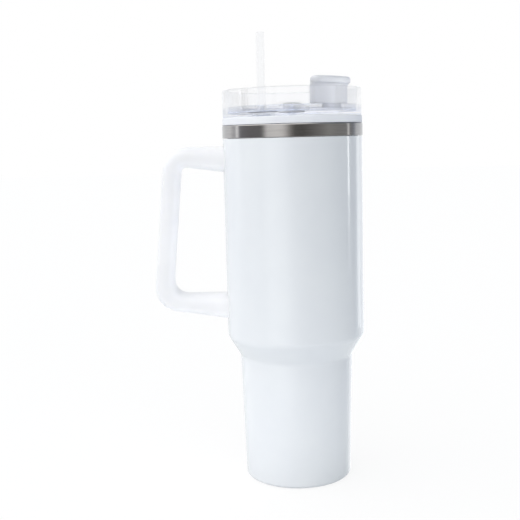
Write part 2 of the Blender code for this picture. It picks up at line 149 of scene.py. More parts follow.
def lathe(name, corners, at=(0.0, 0.0), segments=SEGMENTS, steps=5, support=0.25):
    """Turns (r, z, fillet) corners about a vertical axis.

    A profile that starts on the axis is open and ends on the axis; any other is a loop.
    """
    closed = corners[0][0] > 0
    verts, rings = [], []
    for r, z in rounded(corners, closed, steps, support):
        if r < 1e-6:
            rings.append([len(verts)])
            verts.append((at[0], at[1], z))
        else:
            rings.append(list(range(len(verts), len(verts) + segments)))
            for i in range(segments):
                angle = math.tau * i / segments
                verts.append((at[0] + r * math.cos(angle), at[1] + r * math.sin(angle), z))
    pairs = list(zip(rings, rings[1:]))
    if closed:
        pairs.append((rings[-1], rings[0]))
    faces = []
    for low, high in pairs:
        for i in range(segments):
            j = (i + 1) % segments
            quad = [low[i % len(low)], low[j % len(low)], high[j % len(high)], high[i % len(high)]]
            face = [v for k, v in enumerate(quad) if v not in quad[:k]]
            if len(face) > 2:
                faces.append(face)
    return finished(name, verts, faces)


def stack(name, outlines):
    """A closed solid from (x, y, z) outlines of equal length, in order along it."""
    count = len(outlines[0])
    verts = [point for outline in outlines for point in outline]
    last = len(verts) - count
    faces = []
    for base in range(0, last, count):
        for i in range(count):
            j = (i + 1) % count
            faces.append((base + i, base + j, base + count + j, base + count + i))
    faces.append(tuple(range(count)))
    faces.append(tuple(range(last, len(verts))))
    return finished(name, verts, faces)


def arc_slot(ring_r, centre, span, half, steps, cap_steps=12):
    """Outline (x, y) of a round-ended slot along a circle, span degrees each side of centre."""
    start, end = centre - span, centre + span
    outline = []
    for side_r, first, last, lead in (
        (ring_r + half, start, end, 0.0),
        (ring_r - half, end, start, 180.0),
    ):
        outline += [polar(side_r, first + (last - first) * i / steps) for i in range(steps + 1)]
        cap_x, cap_y = polar(ring_r, last)
        for i in range(1, cap_steps):
            x, y = polar(half, last + lead + 180.0 * i / cap_steps)
            outline.append((cap_x + x, cap_y + y))
    return outline


def slot_solid(name, levels, ring_r, centre, span):
    """levels is (half width, z) from the bottom to the top; one arc step is two degrees."""
    return stack(
        name,
        [
            [(x, y, z) for x, y in arc_slot(ring_r, centre, span, half, round(span))]
            for half, z in levels
        ],
    )


def slot_tool(name, half, heights, ring_r, centre, span):
    return slot_solid(name, [(half, z) for z in heights], ring_r, centre, span)


def rod(name, radius, heights, at, segments):
    z0, z1 = heights
    corners = [(0, z0, 0), (radius, z0, 0), (radius, z1, 0), (0, z1, 0)]
    return lathe(name, corners, at, segments)


def box_solid(name, low, high):
    x0, y0, z0 = low
    x1, y1, z1 = high
    corners = [(x0, y0), (x1, y0), (x1, y1), (x0, y1)]
    return stack(name, [[(x, y, z) for x, y in corners] for z in (z0, z1)])


def carve(target, tool, operation="DIFFERENCE"):
    """Applies a Boolean at once and throws the tool away."""
    step = target.modifiers.new("carve", "BOOLEAN")
    step.operation = operation
    step.solver = "EXACT"
    step.object = tool
    bpy.context.view_layer.update()
    graph = bpy.context.evaluated_depsgraph_get()
    mesh = bpy.data.meshes.new_from_object(target.evaluated_get(graph))
    target.modifiers.clear()
    old = target.data
    target.data = mesh
    bpy.data.meshes.remove(old)
    bpy.data.objects.remove(tool, do_unlink=True)


def tidy(target, sharp=SHARP_ANGLE):
    """Drops the slivers that carving leaves, and shades the piece smooth between its corners."""
    shape = bmesh.new()
    shape.from_mesh(target.data)
    bmesh.ops.remove_doubles(shape, verts=shape.verts, dist=0.000002)
    bmesh.ops.dissolve_degenerate(shape, edges=shape.edges, dist=0.000001)
    # points in the middle of a nearly straight edge
    spare = [v for v in shape.verts if len(v.link_edges) == 2 and v.calc_edge_angle(9.0) < 0.06]
    bmesh.ops.dissolve_verts(shape, verts=spare)
    shape.to_mesh(target.data)
    shape.free()
    shade(target.data, sharp)


# ---------------------------------------------------------------- material helpers
class Nodes:
    """A small wrapper that keeps the node tree of a material or world short to write."""

    def __init__(self, owner):
        self.owner = owner
        owner.use_nodes = True
        self.tree = owner.node_tree
        self.tree.nodes.clear()

    def add(self, kind, inputs, **settings):
        node = self.tree.nodes.new(kind)
        for key, value in settings.items():
            setattr(node, key, value)
        for key, value in inputs.items():
            self.feed(node.inputs[key], value)
        return node

    def feed(self, socket, value):
        if isinstance(value, bpy.types.NodeSocket):
            self.tree.links.new(value, socket)
        else:
            socket.default_value = value

    def math(self, operation, a, b=0.5):
        return self.add("ShaderNodeMath", {0: a, 1: b}, operation=operation).outputs[0]

    def times(self, a, b):
        return self.math("MULTIPLY", a, b)

    def plus(self, a, b):
        return self.math("ADD", a, b)

    def length(self, x, y):
        return self.math("SQRT", self.plus(self.times(x, x), self.times(y, y)))

    def span(self, value, over, to=(0.0, 1.0), kind="LINEAR"):
        """Maps a value from one range to another, clamped."""
        inputs = {
            "Value": value,
            "From Min": over[0],
            "From Max": over[1],
            "To Min": to[0],
            "To Max": to[1],
        }
        return self.add("ShaderNodeMapRange", inputs, interpolation_type=kind).outputs["Result"]

    def smooth(self, value, over, to=(0.0, 1.0)):
        return self.span(value, over, to, kind="SMOOTHSTEP")

    def mix(self, factor, a, b, blend="MIX"):
        """Mixes two colours, each a socket or an (r, g, b)."""
        node = self.add("ShaderNodeMix", {"Factor": factor}, data_type="RGBA", blend_type=blend)
        for socket, value in ((node.inputs[6], a), (node.inputs[7], b)):
            self.feed(socket, (*value, 1.0) if isinstance(value, tuple) else value)
        return node.outputs[2]

    def mix_shaders(self, factor, a, b):
        return self.add("ShaderNodeMixShader", {0: factor, 1: a, 2: b}).outputs[0]

    def noise(self, vector, scale, detail=3.0, rough=0.5):
        inputs = {"Vector": vector, "Scale": scale, "Detail": detail, "Roughness": rough}
        return self.add("ShaderNodeTexNoise", inputs).outputs["Fac"]

    def place(self):
        """Object position in metres."""
        return self.add("ShaderNodeTexCoord", {}).outputs["Object"]

    def split(self, vector):
        return self.add("ShaderNodeSeparateXYZ", {0: vector}).outputs

    def combine(self, x, y, z):
        return self.add("ShaderNodeCombineXYZ", {0: x, 1: y, 2: z}).outputs[0]

    def grazing(self):
        """0 where the surface is seen square on, 1 where it is seen edge on."""
        return self.add("ShaderNodeLayerWeight", {"Blend": 0.5}).outputs["Facing"]

    def heading_ramp(self, turn, stops):
        """Colours round the horizon; stops is (heading in degrees, r, g, b)."""
        node = self.add("ShaderNodeValToRGB", {"Fac": turn})
        elements = node.color_ramp.elements
        while len(elements) > 1:
            elements.remove(elements[-1])
        for k, (degrees, *colour) in enumerate(stops):
            position = degrees / 360.0 + 0.5
            element = elements[0] if k == 0 else elements.new(position)
            element.position = position
            element.color = (*colour, 1.0)
        return node.outputs["Color"]

    def bump(self, height, strength, distance):
        inputs = {"Height": height, "Strength": strength, "Distance": distance}
        return self.add("ShaderNodeBump", inputs).outputs["Normal"]

    def principled(self, **inputs):
        named = {key.replace("_", " "): value for key, value in inputs.items()}
        return self.add("ShaderNodeBsdfPrincipled", named).outputs[0]

    def out(self, shader):
        self.add("ShaderNodeOutputMaterial", {"Surface": shader})
        return self.owner


def new_material(name):
    return Nodes(bpy.data.materials.new(name))


def srgb(*channels):
    """Linear colour from 0-255 channels."""

    def linear(c):
        c /= 255.0
        return c / 12.92 if c <= 0.04045 else ((c + 0.055) / 1.055) ** 2.4

    return tuple(linear(c) for c in channels)


# ---------------------------------------------------------------- materials
def white_coat():
    """Glossy white coating with a faint orange peel where it is seen square on."""
    nodes = new_material("white_coat")
    place = nodes.place()
    cloud = nodes.noise(place, scale=22.0, rough=0.55)
    fine = nodes.noise(place, scale=1500.0, detail=2.0)
    peel = nodes.noise(place, scale=520.0, detail=2.0, rough=0.45)
    square_on = nodes.smooth(nodes.grazing(), over=(0.35, 0.75), to=(1.0, 0.0))
    shader = nodes.principled(
        Base_Color=nodes.mix(
            nodes.span(cloud, over=(0.35, 0.65)), srgb(234, 237, 241), srgb(237, 240, 243)
        ),
        Roughness=nodes.span(fine, over=(0.3, 0.7), to=(0.30, 0.38)),
        IOR=1.42,
        Normal=nodes.bump(peel, strength=nodes.times(square_on, 0.10), distance=0.00005),
        Coat_Weight=1.0,
        Coat_Roughness=nodes.span(peel, over=(0.3, 0.7), to=(0.03, 0.05)),
        Coat_IOR=1.42,
        Coat_Normal=nodes.bump(peel, strength=nodes.times(square_on, 0.04), distance=0.00005),
    )
    return nodes.out(shader)


def brushed(name, light, dark, roughness, anisotropy=0.75, relief=0.15):
    """Steel brushed round its axis: streaks long in angle and fine in height and radius."""
    nodes = new_material(name)
    x, y, z = nodes.split(nodes.place())
    angle = nodes.math("ARCTAN2", y, x)
    radius = nodes.length(x, y)

    def spun(along, across):
        """Texture place with its frequency round the axis and across the streaks."""
        return nodes.combine(
            nodes.times(nodes.math("COSINE", angle), along),
            nodes.times(nodes.math("SINE", angle), along),
            nodes.times(nodes.plus(z, radius), across),
        )

    streak = nodes.noise(spun(along=3.0, across=4500.0), scale=1.0, detail=4.0, rough=0.6)
    broad = nodes.noise(spun(along=1.6, across=900.0), scale=1.0)
    grain = nodes.plus(nodes.times(streak, 0.7), nodes.times(broad, 0.3))
    shader = nodes.principled(
        Base_Color=nodes.mix(nodes.span(grain, over=(0.36, 0.64)), dark, light),
        Metallic=1.0,
        Roughness=nodes.span(streak, over=(0.3, 0.7), to=(roughness * 0.8, roughness * 1.25)),
        Anisotropic=anisotropy,
        Anisotropic_Rotation=0.25,
        Tangent=nodes.add("ShaderNodeTangent", {}, direction_type="RADIAL", axis="Z").outputs[0],
        Normal=nodes.bump(grain, strength=relief, distance=0.00004),
    )
    return nodes.out(shader)


def satin_steel(name, tone):
    """Unpolished metal; tone is its mean 0-255 grey."""
    nodes = new_material(name)
    place = nodes.place()
    cloud = nodes.noise(place, scale=90.0, detail=4.0, rough=0.6)
    fine = nodes.noise(place, scale=4000.0, detail=2.0)
    shader = nodes.principled(
        Base_Color=nodes.mix(
            nodes.span(cloud, over=(0.3, 0.7)),
            srgb(tone - 12, tone - 12, tone - 13),
            srgb(tone + 8, tone + 8, tone + 7),
        ),
        Metallic=1.0,
        Roughness=nodes.span(fine, over=(0.3, 0.7), to=(0.24, 0.38)),
        Normal=nodes.bump(fine, strength=0.1, distance=0.00003),
    )
    return nodes.out(shader)


def moulded(name, dark, light, rough, grain, subsurface, coat=0.0):
    """Moulded plastic or silicone: fine spark grain, faint flow clouds, soft sheen."""
    nodes = new_material(name)
    place = nodes.place()
    cloud = nodes.noise(place, scale=35.0, rough=0.55)
    fine = nodes.noise(place, scale=grain, rough=0.6)
    colour = nodes.mix(nodes.span(cloud, over=(0.35, 0.65)), dark, light)
    square_on = nodes.smooth(nodes.grazing(), over=(0.35, 0.75), to=(0.25, 0.0))
    shader = nodes.principled(
        Base_Color=colour,
        Roughness=nodes.span(fine, over=(0.3, 0.7), to=rough),
        IOR=1.48,
        Normal=nodes.bump(fine, strength=square_on, distance=0.00002),
        Subsurface_Weight=subsurface,
        Subsurface_Radius=(0.004, 0.004, 0.0045),
        Subsurface_Scale=1.0,
        Coat_Weight=coat,
        Coat_Roughness=0.12,
    )
    return nodes.out(shader)


def clear_plastic(name, wall, low, flat, sheen):
    """Moulded clear plastic: its tall wall nearly invisible, its floor and rims dense.

    wall and low are the opacities (square on, edge on) above and below the change of
    height, flat scales the lower one on level faces, and sheen is the strength of the
    mirror on rounded edges.
    """
    nodes = new_material(name)
    place = nodes.place()
    flow = nodes.noise(place, scale=55.0, detail=2.0)
    fine = nodes.noise(place, scale=2600.0, detail=2.0)
    height = nodes.split(place)[2]
    foot = nodes.smooth(height, over=(0.2725, 0.2695))
    tint = srgb(247, 249, 255)
    colour = nodes.mix(nodes.span(flow, over=(0.35, 0.65)), tuple(c * 0.985 for c in tint), tint)
    grazing = nodes.grazing()
    thin = nodes.smooth(grazing, over=(0.35, 0.98), to=wall)
    dense = nodes.smooth(grazing, over=(0.35, 0.95), to=low)
    normal_z = nodes.split(nodes.add("ShaderNodeNewGeometry", {}).outputs["Normal"])[2]
    level = nodes.smooth(nodes.math("ABSOLUTE", normal_z), over=(0.35, 0.75))
    dense = nodes.times(dense, nodes.math("SUBTRACT", 1.0, nodes.times(level, 1.0 - flat)))
    cover = nodes.add("ShaderNodeMix", {0: foot, 2: thin, 3: dense}, data_type="FLOAT").outputs[0]
    body = nodes.principled(
        Base_Color=colour,
        Roughness=nodes.span(fine, over=(0.3, 0.7), to=(0.009, 0.024)),
        IOR=1.49,
        Transmission_Weight=1.0,
        Alpha=cover,
        Normal=nodes.bump(flow, strength=0.05, distance=0.0004),
    )
    steep = nodes.math("ABSOLUTE", normal_z)
    rounded_edge = nodes.times(
        nodes.smooth(steep, over=(0.10, 0.40), to=(0.10, 1.0)),
        nodes.smooth(steep, over=(0.80, 0.97), to=(1.0, 0.0)),
    )
    edge_sheen = nodes.times(rounded_edge, sheen)
    mirror = nodes.add(
        "ShaderNodeBsdfGlossy", {"Color": (0.74, 0.78, 0.91, 1.0), "Roughness": 0.04}
    ).outputs[0]
    shader = nodes.mix_shaders(nodes.times(foot, edge_sheen), body, mirror)
    # shadow rays pass, so that what is inside is lit
    shadow_ray = nodes.add("ShaderNodeLightPath", {}).outputs["Is Shadow Ray"]
    clear = nodes.add("ShaderNodeBsdfTransparent", {"Color": (0.94, 0.96, 1.0, 1.0)}).outputs[0]
    return nodes.out(nodes.mix_shaders(shadow_ray, shader, clear))


def straw_film():
    """Thin translucent plastic, milkier towards its edges, with faint drawn lines along it, and a
    faint painted glow.
    """
    nodes = new_material("straw_plastic")
    place = nodes.place()
    grazing = nodes.grazing()
    x, y, z = nodes.split(place)
    drawn = nodes.combine(nodes.times(x, 900.0), nodes.times(y, 900.0), nodes.times(z, 2.0))
    line = nodes.noise(drawn, scale=1.0, detail=1.0)
    shader = nodes.principled(
        Base_Color=nodes.mix(line, srgb(202, 205, 211), srgb(210, 213, 218)),
        Roughness=nodes.span(line, over=(0.3, 0.7), to=(0.22, 0.30)),
        IOR=1.35,
        # painted light: a faint glow from the straw itself stands in for studio light falling on
        # it
        Emission_Color=(0.98, 0.985, 1.0, 1.0),
        Emission_Strength=0.26,
        Alpha=nodes.smooth(grazing, over=(0.2, 0.95), to=(0.065, 0.13)),
    )
    return nodes.out(shader)


COAT = white_coat()
BAND = brushed(
    "brushed_steel",
    light=srgb(184, 182, 180),
    dark=srgb(170, 168, 167),
    roughness=0.15,
    anisotropy=0.6,
    relief=0.05,
)
LINER = brushed(
    "liner_steel",
    light=srgb(205, 206, 208),
    dark=srgb(180, 181, 183),
    roughness=0.30,
    anisotropy=0.5,
)
BASE_STEEL = brushed(
    "base_steel", light=srgb(200, 200, 200), dark=srgb(165, 165, 166), roughness=0.30
)
SATIN = satin_steel("satin_steel", tone=168)
SCREW = satin_steel("screw_steel", tone=150)
GETTER = satin_steel("getter_alloy", tone=100)
BEAD = satin_steel("seal_bead", tone=185)
HANDLE = moulded(
    "handle_white",
    dark=srgb(236, 236, 238),
    light=srgb(240, 240, 242),
    rough=(0.34, 0.44),
    grain=1500.0,
    subsurface=0.25,
    coat=0.08,
)
SILICONE = moulded(
    "white_silicone",
    dark=srgb(234, 236, 242),
    light=srgb(239, 241, 245),
    rough=(0.48, 0.60),
    grain=2200.0,
    subsurface=0.15,
)
TAB = moulded(
    "frosted_tab",
    dark=srgb(209, 210, 215),
    light=srgb(215, 216, 220),
    rough=(0.30, 0.42),
    grain=2600.0,
    subsurface=0.20,
    coat=0.06,
)
CLEAR = clear_plastic("clear_plastic", wall=(0.16, 0.38), low=(0.15, 0.48), flat=0.45, sheen=0.60)
CLEAR_DISC = clear_plastic(
    "clear_disc", wall=(0.2, 0.5), low=(0.13, 0.44), flat=0.36, sheen=0.95
)
STRAW = straw_film()


def dress(piece, body, node, material):
    piece.data.materials.clear()
    piece.data.materials.append(material)
    for polygon in piece.data.polygons:
        polygon.material_index = 0
    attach(piece, body)
    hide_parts(node)


# ---------------------------------------------------------------- cup
# all lathe profiles are (r, z, fillet)
shell = lathe(
    "tumbler_body",
    [
        (BODY_R, SHELL_TOP_Z, 0.35),
        (BODY_R, 180.0, 0.0),
        (BODY_R + 0.05, 106.4, 9.0),
        (NECK_R + 0.1, 91.8, 6.5),
        (NECK_R - 0.1, NECK_FOOT_Z, 0.0),
        (FOOT_R + 0.05, HEEL_Z, 0.0),
        (FOOT_R, 0.0, 3.4),
        (30.6, 0.0, 0.25),
        (30.6, 0.6, 0.2),
        (35.6, 0.6, 1.6),
        (FOOT_R - 0.7, HEEL_Z, 0.0),
        (NECK_R - 0.7, NECK_FOOT_Z, 0.0),
        (NECK_R - 0.5, 92.0, 6.5),
        (BODY_R - SHELL_WALL, 107.0, 9.0),
        (BODY_R - SHELL_WALL, SHELL_TOP_Z, 0.1),
    ],
    steps=12,
    segments=SHELL_SEGMENTS,
)
dress(shell, "vessel", "outer_shell", COAT)

band = lathe(
    "rim_ring",
    [
        (46.95, BAND_TOP_Z, 0.3),
        (BAND_R, BAND_TOP_Z, 0.75),
        (BAND_R, BAND_BOTTOM_Z, 0.22),
        (BAND_R - 0.6, BAND_BOTTOM_Z, 0.1),
        (BAND_R - 0.6, BAND_TOP_Z - 0.8, 0.3),
        (47.2, BAND_TOP_Z - 0.8, 0.1),
    ],
    steps=6,
    segments=FINE_SEGMENTS,
)
dress(band, "vessel", "rim_band", BAND)

liner = lathe(
    "steel_liner",
    [
        (0.0, FLOOR_Z, 0.0),
        (31.0, FLOOR_Z, 1.5),
        (34.8, 11.5, 3.5),
        (36.95, 91.0, 5.0),
        (38.0, 96.0, 5.0),
        (LINER_R, 109.0, 9.0),
        (LINER_R, 180.0, 0.0),
        (LINER_R, BAND_TOP_Z, 0.2),
        (LINER_R + LINER_WALL, BAND_TOP_Z, 0.15),
        (LINER_R + LINER_WALL, 180.0, 0.0),
        (LINER_R + LINER_WALL, 109.2, 9.0),
        (38.4, 95.6, 5.0),
        (37.45, 91.0, 5.0),
        (35.3, 11.4, 3.5),
        (31.2, FLOOR_Z - LINER_WALL, 1.5),
        (0.0, FLOOR_Z - LINER_WALL, 0.0),
    ],
    steps=8,
)
dress(liner, "vessel", "inner_liner", LINER)

base_cover = lathe(
    "base_disc",
    [
        (0.0, 0.35, 0.0), (24.0, 0.35, 0.6), (25.0, 0.0, 0.6),
        (29.9, 0.0, 0.35), (29.9, 1.0, 0.3), (0.0, 1.0, 0.0),
    ],
)
dress(base_cover, "vessel", "base_cover", BASE_STEEL)

# ---------------------------------------------------------------- handle
# corners (x, z) from the upper root to the lower one, and how far each bend reaches
HANDLE_OUTER = ((-44.0, 244.6), (-92.6, 244.6), (-103.9, 127.9), (-44.0, 118.2))
HANDLE_INNER = ((-44.0, 225.2), (-80.5, 230.4), (-89.5, 137.6), (-44.0, 137.6))
OUTER_BENDS, INNER_BENDS = (18.0, 18.5), (4.5, 13.0)
HANDLE_HALF_WIDTH, HANDLE_SQUARE, HANDLE_SIDES = 12.0, 2.9, 56
SCREW_X = -56.0
POCKETS = (("upper", 230.6, 240.6), ("lower", 124.0, 134.0))  # name, bottom z, top z


def toward(a, b, distance):
    length = math.dist(a, b)
    return tuple(p + (q - p) * distance / length for p, q in zip(a, b))


def between(a, b, steps):
    return [tuple(p + (q - p) * i / steps for p, q in zip(a, b)) for i in range(1, steps)]


def bend(before, tip, after, reach, steps=16):
    """A quadratic curve round the tip, from reach before it to reach after it."""
    start, end = toward(tip, before, reach), toward(tip, after, reach)
    return [
        tuple(
            (1 - t) ** 2 * p + 2 * t * (1 - t) * m + t * t * q for p, m, q in zip(start, tip, end)
        )
        for t in (i / steps for i in range(steps + 1))
    ]


def handle_outline(corners, bends):
    start, upper, lower, end = corners
    first = bend(start, upper, lower, bends[0])
    second = bend(upper, lower, end, bends[1])
    return (
        [start]
        + between(start, first[0], 8)
        + first
        + between(first[-1], second[0], 16)
        + second
        + between(second[-1], end, 8)
        + [end]
    )


def squarish(value):
    """Bends a sine or cosine from a circle towards a rounded square."""
    return math.copysign(abs(value) ** (2 / HANDLE_SQUARE), value)


def handle_ring(outer, inner):
    """Cross-section between a point of the outer outline and one of the inner."""
    middle = Vector(((outer[0] + inner[0]) / 2, 0.0, (outer[1] + inner[1]) / 2))
    reach = Vector((outer[0] - inner[0], 0.0, outer[1] - inner[1])) / 2
    ring = []
    for i in range(HANDLE_SIDES):
        angle = math.tau * i / HANDLE_SIDES
        across = Vector((0, HANDLE_HALF_WIDTH * squarish(math.sin(angle)), 0))
        ring.append(tuple(middle + reach * squarish(math.cos(angle)) + across))
    return ring


grip = stack(
    "handle_loop",
    [
        handle_ring(outer, inner)
        for outer, inner in zip(
            handle_outline(HANDLE_OUTER, OUTER_BENDS), handle_outline(HANDLE_INNER, INNER_BENDS)
        )
    ],
)
# its roots end on the cup's wall, with a pocket and a stepped screw hole in each
carve(grip, rod("cut_wall", BODY_R + 0.03, (100.0, 262.0), (0, 0), SHELL_SEGMENTS))
for _, low, high in POCKETS:
    carve(grip, box_solid("cut_pocket", (-61.0, -5.6, low), (-40.0, 5.6, high)))
    carve(grip, rod("cut_head", 3.4, (low - 11.5, low - 1.6), (SCREW_X, 0), 48))
    carve(grip, rod("cut_shank", 2.0, (low - 3.0, low + 1.0), (SCREW_X, 0), 32))
tidy(grip, sharp=42.0)
dress(grip, "vessel", "handle", HANDLE)

for where, low, high in POCKETS:
    screw = lathe(
        "screw_" + where,
        [
            (0.0, high - 2.2, 0.0),
            (1.3, high - 2.2, 0.3),
            (1.6, high - 2.9, 0.2),
            (1.6, low - 1.9, 0.15),
            (3.0, low - 1.9, 0.2),
            (3.0, low - 3.2, 0.6),
            (0.0, low - 3.9, 0.0),
        ],
        at=(SCREW_X, 0.0),
        segments=48,
    )
    for half_x, half_y in ((1.7, 0.32), (0.32, 1.7)):
        near = (SCREW_X - half_x, -half_y, low - 5.0)
        far = (SCREW_X + half_x, half_y, low - 2.9)
        carve(screw, box_solid("cut_cross", near, far))
    tidy(screw)
    dress(screw, "vessel", "handle_screw_" + where, SCREW)

# ---------------------------------------------------------------- lid
lid = lathe(
    "lid_shell",
    [
        (2.9, LID_FLOOR_Z0, 0.2),
        (2.9, 271.7, 0.25),
        (5.9, 271.7, 0.5),
        (5.9, LID_FLOOR_Z1, 0.5),
        (46.0, LID_FLOOR_Z1, 1.6),
        (46.9, 282.9, 2.0),
        (47.0, LID_TOP_Z, 1.0),
        (LID_R, LID_TOP_Z, 2.5),
        (LID_R, LID_Z0, 0.6),
        (PLUG_R, LID_Z0, 0.1),
        (PLUG_R, PLUG_BOTTOM_Z, 0.6),
        (42.0, PLUG_BOTTOM_Z, 0.6),
        (42.0, 263.2, 0.6),
        (40.8, LID_FLOOR_Z0, 0.6),
    ],
    steps=6,
    segments=FINE_SEGMENTS,
)
straw_at = polar(PORT_RING_R, STRAW_ANGLE)
seat_z = (LID_FLOOR_Z1 - SEAT_DEPTH, LID_CUT_Z[1])
carve(lid, rod("cut_port", PORT_R, LID_CUT_Z, straw_at, 64))
carve(lid, rod("cut_seat", SEAT_R, seat_z, straw_at, 64))
carve(lid, slot_tool("cut_sip", SIP_HALF, LID_CUT_Z, PORT_RING_R, SIP_ANGLE, SIP_SPAN))
carve(lid, rod("cut_vent", VENT_R, LID_CUT_Z, polar(PORT_RING_R, VENT_ANGLE), 32))
tidy(lid)
dress(lid, "lid", "lid_base", CLEAR)

gasket = lathe(
    "lid_seal",
    [
        (48.4, GASKET_Z1, 0.2),
        (GASKET_R + 0.35, GASKET_Z1, 0.7),
        (GASKET_R + 0.45, GASKET_Z0 - 0.25, 0.25),
        (45.8, GASKET_Z0 - 0.25, 0.3),
        (45.2, 258.8, 0.1), (45.2, 258.5, 0.1), (45.9, 258.1, 0.25), (45.2, 257.5, 0.2),
        (45.2, 255.3, 0.2), (45.9, 254.7, 0.25), (45.2, 254.1, 0.2), (45.2, 251.6, 0.25),
        (PLUG_R + 0.3, 251.6, 0.1),
        (PLUG_R + 0.3, GASKET_Z1, 0.1),
    ],
    support=0.12,
    segments=FINE_SEGMENTS,
)
dress(gasket, "lid", "lid_gasket", SILICONE)

grommet = lathe(
    "straw_collar",
    [
        (6.2, LID_FLOOR_Z1, 0.3),
        (6.2, LID_FLOOR_Z1 - 0.9, 0.15),
        (4.7, LID_FLOOR_Z1 - 0.9, 0.1),
        (4.7, 264.3, 0.1),
        (6.2, 264.3, 0.2),
        (6.0, 262.9, 0.4),
        (3.6, 262.9, 0.2),
        (3.6, LID_FLOOR_Z1, 0.4),
    ],
    support=0.08,
    at=straw_at,
    segments=64,
)
dress(grommet, "lid", "straw_grommet", SILICONE)

washer = lathe(
    "hub_ring",
    [(9.4, 268.6, 0.4), (9.4, 267.4, 0.4), (6.2, 267.4, 0.3), (6.2, 268.6, 0.3)],
    support=0.08,
    segments=96,
)
dress(washer, "lid", "hub_washer", SILICONE)

pivot = lathe(
    "hub_cap",
    [
        (0.0, 274.6, 0.0), (5.4, 274.4, 2.5), (9.0, 272.9, 0.6),
        (8.9, 272.3, 0.2), (2.6, 272.3, 0.1), (2.6, 264.3, 0.1),
        (3.4, 264.2, 0.15), (2.4, 262.6, 0.3), (0.0, 262.6, 0.0),
    ],
    support=0.08,
    segments=96,
)
dress(pivot, "lid", "pivot_cap", CLEAR_DISC)

# ---------------------------------------------------------------- turning cover
TAB_RING_R, TAB_ANGLE, TENON_SPAN = 38.0, -44.5, 12.0
TAB_WALL_SPAN, TAB_PLATE_SPAN = 24.1, 20.8  # degrees each side of TAB_ANGLE
TAB_WALL_HALF, TAB_PLATE_HALF = 3.0, 5.0
COVE_Z, COVE_HEIGHT, COVE_OUT = 282.6, 3.6, 1.7
PLATE_LOW_Z, PLATE_EDGE_OUT = 286.35, 0.3
CROWN_Z, CROWN_HEIGHT, CROWN_IN = 288.5, 2.1, 2.4
SEAL_HALF, SEAL_Z0, SEAL_Z1, SEAL_SPAN = 6.8, 267.4, 268.6, 10.0
SEAL_LOW_ROUND, SEAL_HIGH_ROUND = 0.4, 0.3
sip_at = polar(PORT_RING_R, SIP_ANGLE)

cover = lathe(
    "turning_disc",
    [
        (6.3, COVER_Z1, 0.3),
        (COVER_R, COVER_Z1, 0.7),
        (COVER_R, COVER_Z0, 0.5),
        (6.3, COVER_Z0, 0.3),
    ],
    segments=FINE_SEGMENTS,
)
for name, half, ring_r, centre, span in (
    ("cut_window", WINDOW_HALF, PORT_RING_R, WINDOW_ANGLE, WINDOW_SPAN),
    ("cut_tenon", 1.8, TAB_RING_R, TAB_ANGLE, TENON_SPAN),
):
    carve(cover, slot_tool(name, half, COVER_CUT_Z, ring_r, centre, span))
carve(cover, rod("cut_nub", 1.9, COVER_CUT_Z, sip_at, 32))
tidy(cover)
dress(cover, "cover", "rotating_cover", CLEAR_DISC)


def tab_levels():
    """(half width, span, ring radius, z) of the tab: a wall that coves out into a plate."""
    levels = [(2.7, TAB_WALL_SPAN, TAB_RING_R, 272.2)]
    for z in (272.6, 274.0, 277.0, 280.0, COVE_Z):
        levels.append((TAB_WALL_HALF, TAB_WALL_SPAN, TAB_RING_R, z))
    for t in quarter_turn(8)[1:]:  # cove
        out = 1 - math.cos(t)
        span = TAB_WALL_SPAN + (TAB_PLATE_SPAN - TAB_WALL_SPAN) * out
        z = COVE_Z + COVE_HEIGHT * math.sin(t)
        levels.append((TAB_WALL_HALF + COVE_OUT * out, span, TAB_RING_R + out, z))
    plate = []
    for t in quarter_turn(4):  # lower edge of the plate
        half = TAB_PLATE_HALF - PLATE_EDGE_OUT + PLATE_EDGE_OUT * math.sin(t)
        plate.append((half, PLATE_LOW_Z + 1.0 - math.cos(t)))
    for t in quarter_turn(8):  # crowned top
        half = TAB_PLATE_HALF - CROWN_IN + CROWN_IN * math.cos(t)
        plate.append((half, CROWN_Z + CROWN_HEIGHT * math.sin(t)))
    plate += [(1.6, 290.78), (0.7, 290.88)]
    return levels + [(half, TAB_PLATE_SPAN, TAB_RING_R + 1.0, z) for half, z in plate]


tab = stack(
    "grip_plate",
    [
        [(x, y, z) for x, y in arc_slot(ring_r, TAB_ANGLE, span, half, steps=28)]
        for half, span, ring_r, z in tab_levels()
    ],
)
tenon = slot_tool("tab_tenon", 1.4, (269.4, 274.0), TAB_RING_R, TAB_ANGLE, TENON_SPAN)
carve(tab, tenon, "UNION")
tidy(tab)
dress(tab, "cover", "grip_tab", TAB)


def seal_levels():
    """(half width, z) of the sip pad, with its lower and upper edges rounded."""
    low, high = SEAL_LOW_ROUND, SEAL_HIGH_ROUND
    return [
        (SEAL_HALF - low + low * math.sin(t), SEAL_Z0 + low - low * math.cos(t))
        for t in quarter_turn(3)
    ] + [
        (SEAL_HALF - high + high * math.cos(t), SEAL_Z1 - high + high * math.sin(t))
        for t in quarter_turn(3)
    ]


seal = slot_solid("sip_pad", seal_levels(), PORT_RING_R, SIP_ANGLE, SEAL_SPAN)
carve(seal, rod("seal_nub", 1.5, (268.0, 271.6), sip_at, 32), "UNION")
tidy(seal)
dress(seal, "cover", "sip_seal", SILICONE)

# ---------------------------------------------------------------- straw
straw = lathe(
    "drinking_straw_tube",
    [
        (STRAW_R, STRAW_Z1, 0.3),
        (STRAW_R, STRAW_Z0, 0.3),
        (STRAW_BORE_R, STRAW_Z0, 0.3),
        (STRAW_BORE_R, STRAW_Z1, 0.3),
    ],
    support=0.1,
    at=straw_at,
    segments=64,
)
dress(straw, "drinking_straw", "straw", STRAW)

# hidden CAD nodes that stay as they are take a finished material
for node, material in (
    ("base_plate", SATIN),
    ("vacuum_seal_bead", BEAD),
    ("getter", GETTER),
    ("handle_bracket_upper", SATIN),
    ("handle_bracket_lower", SATIN),
):
    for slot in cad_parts[node].material_slots:
        slot.link = "OBJECT"
        slot.material = material

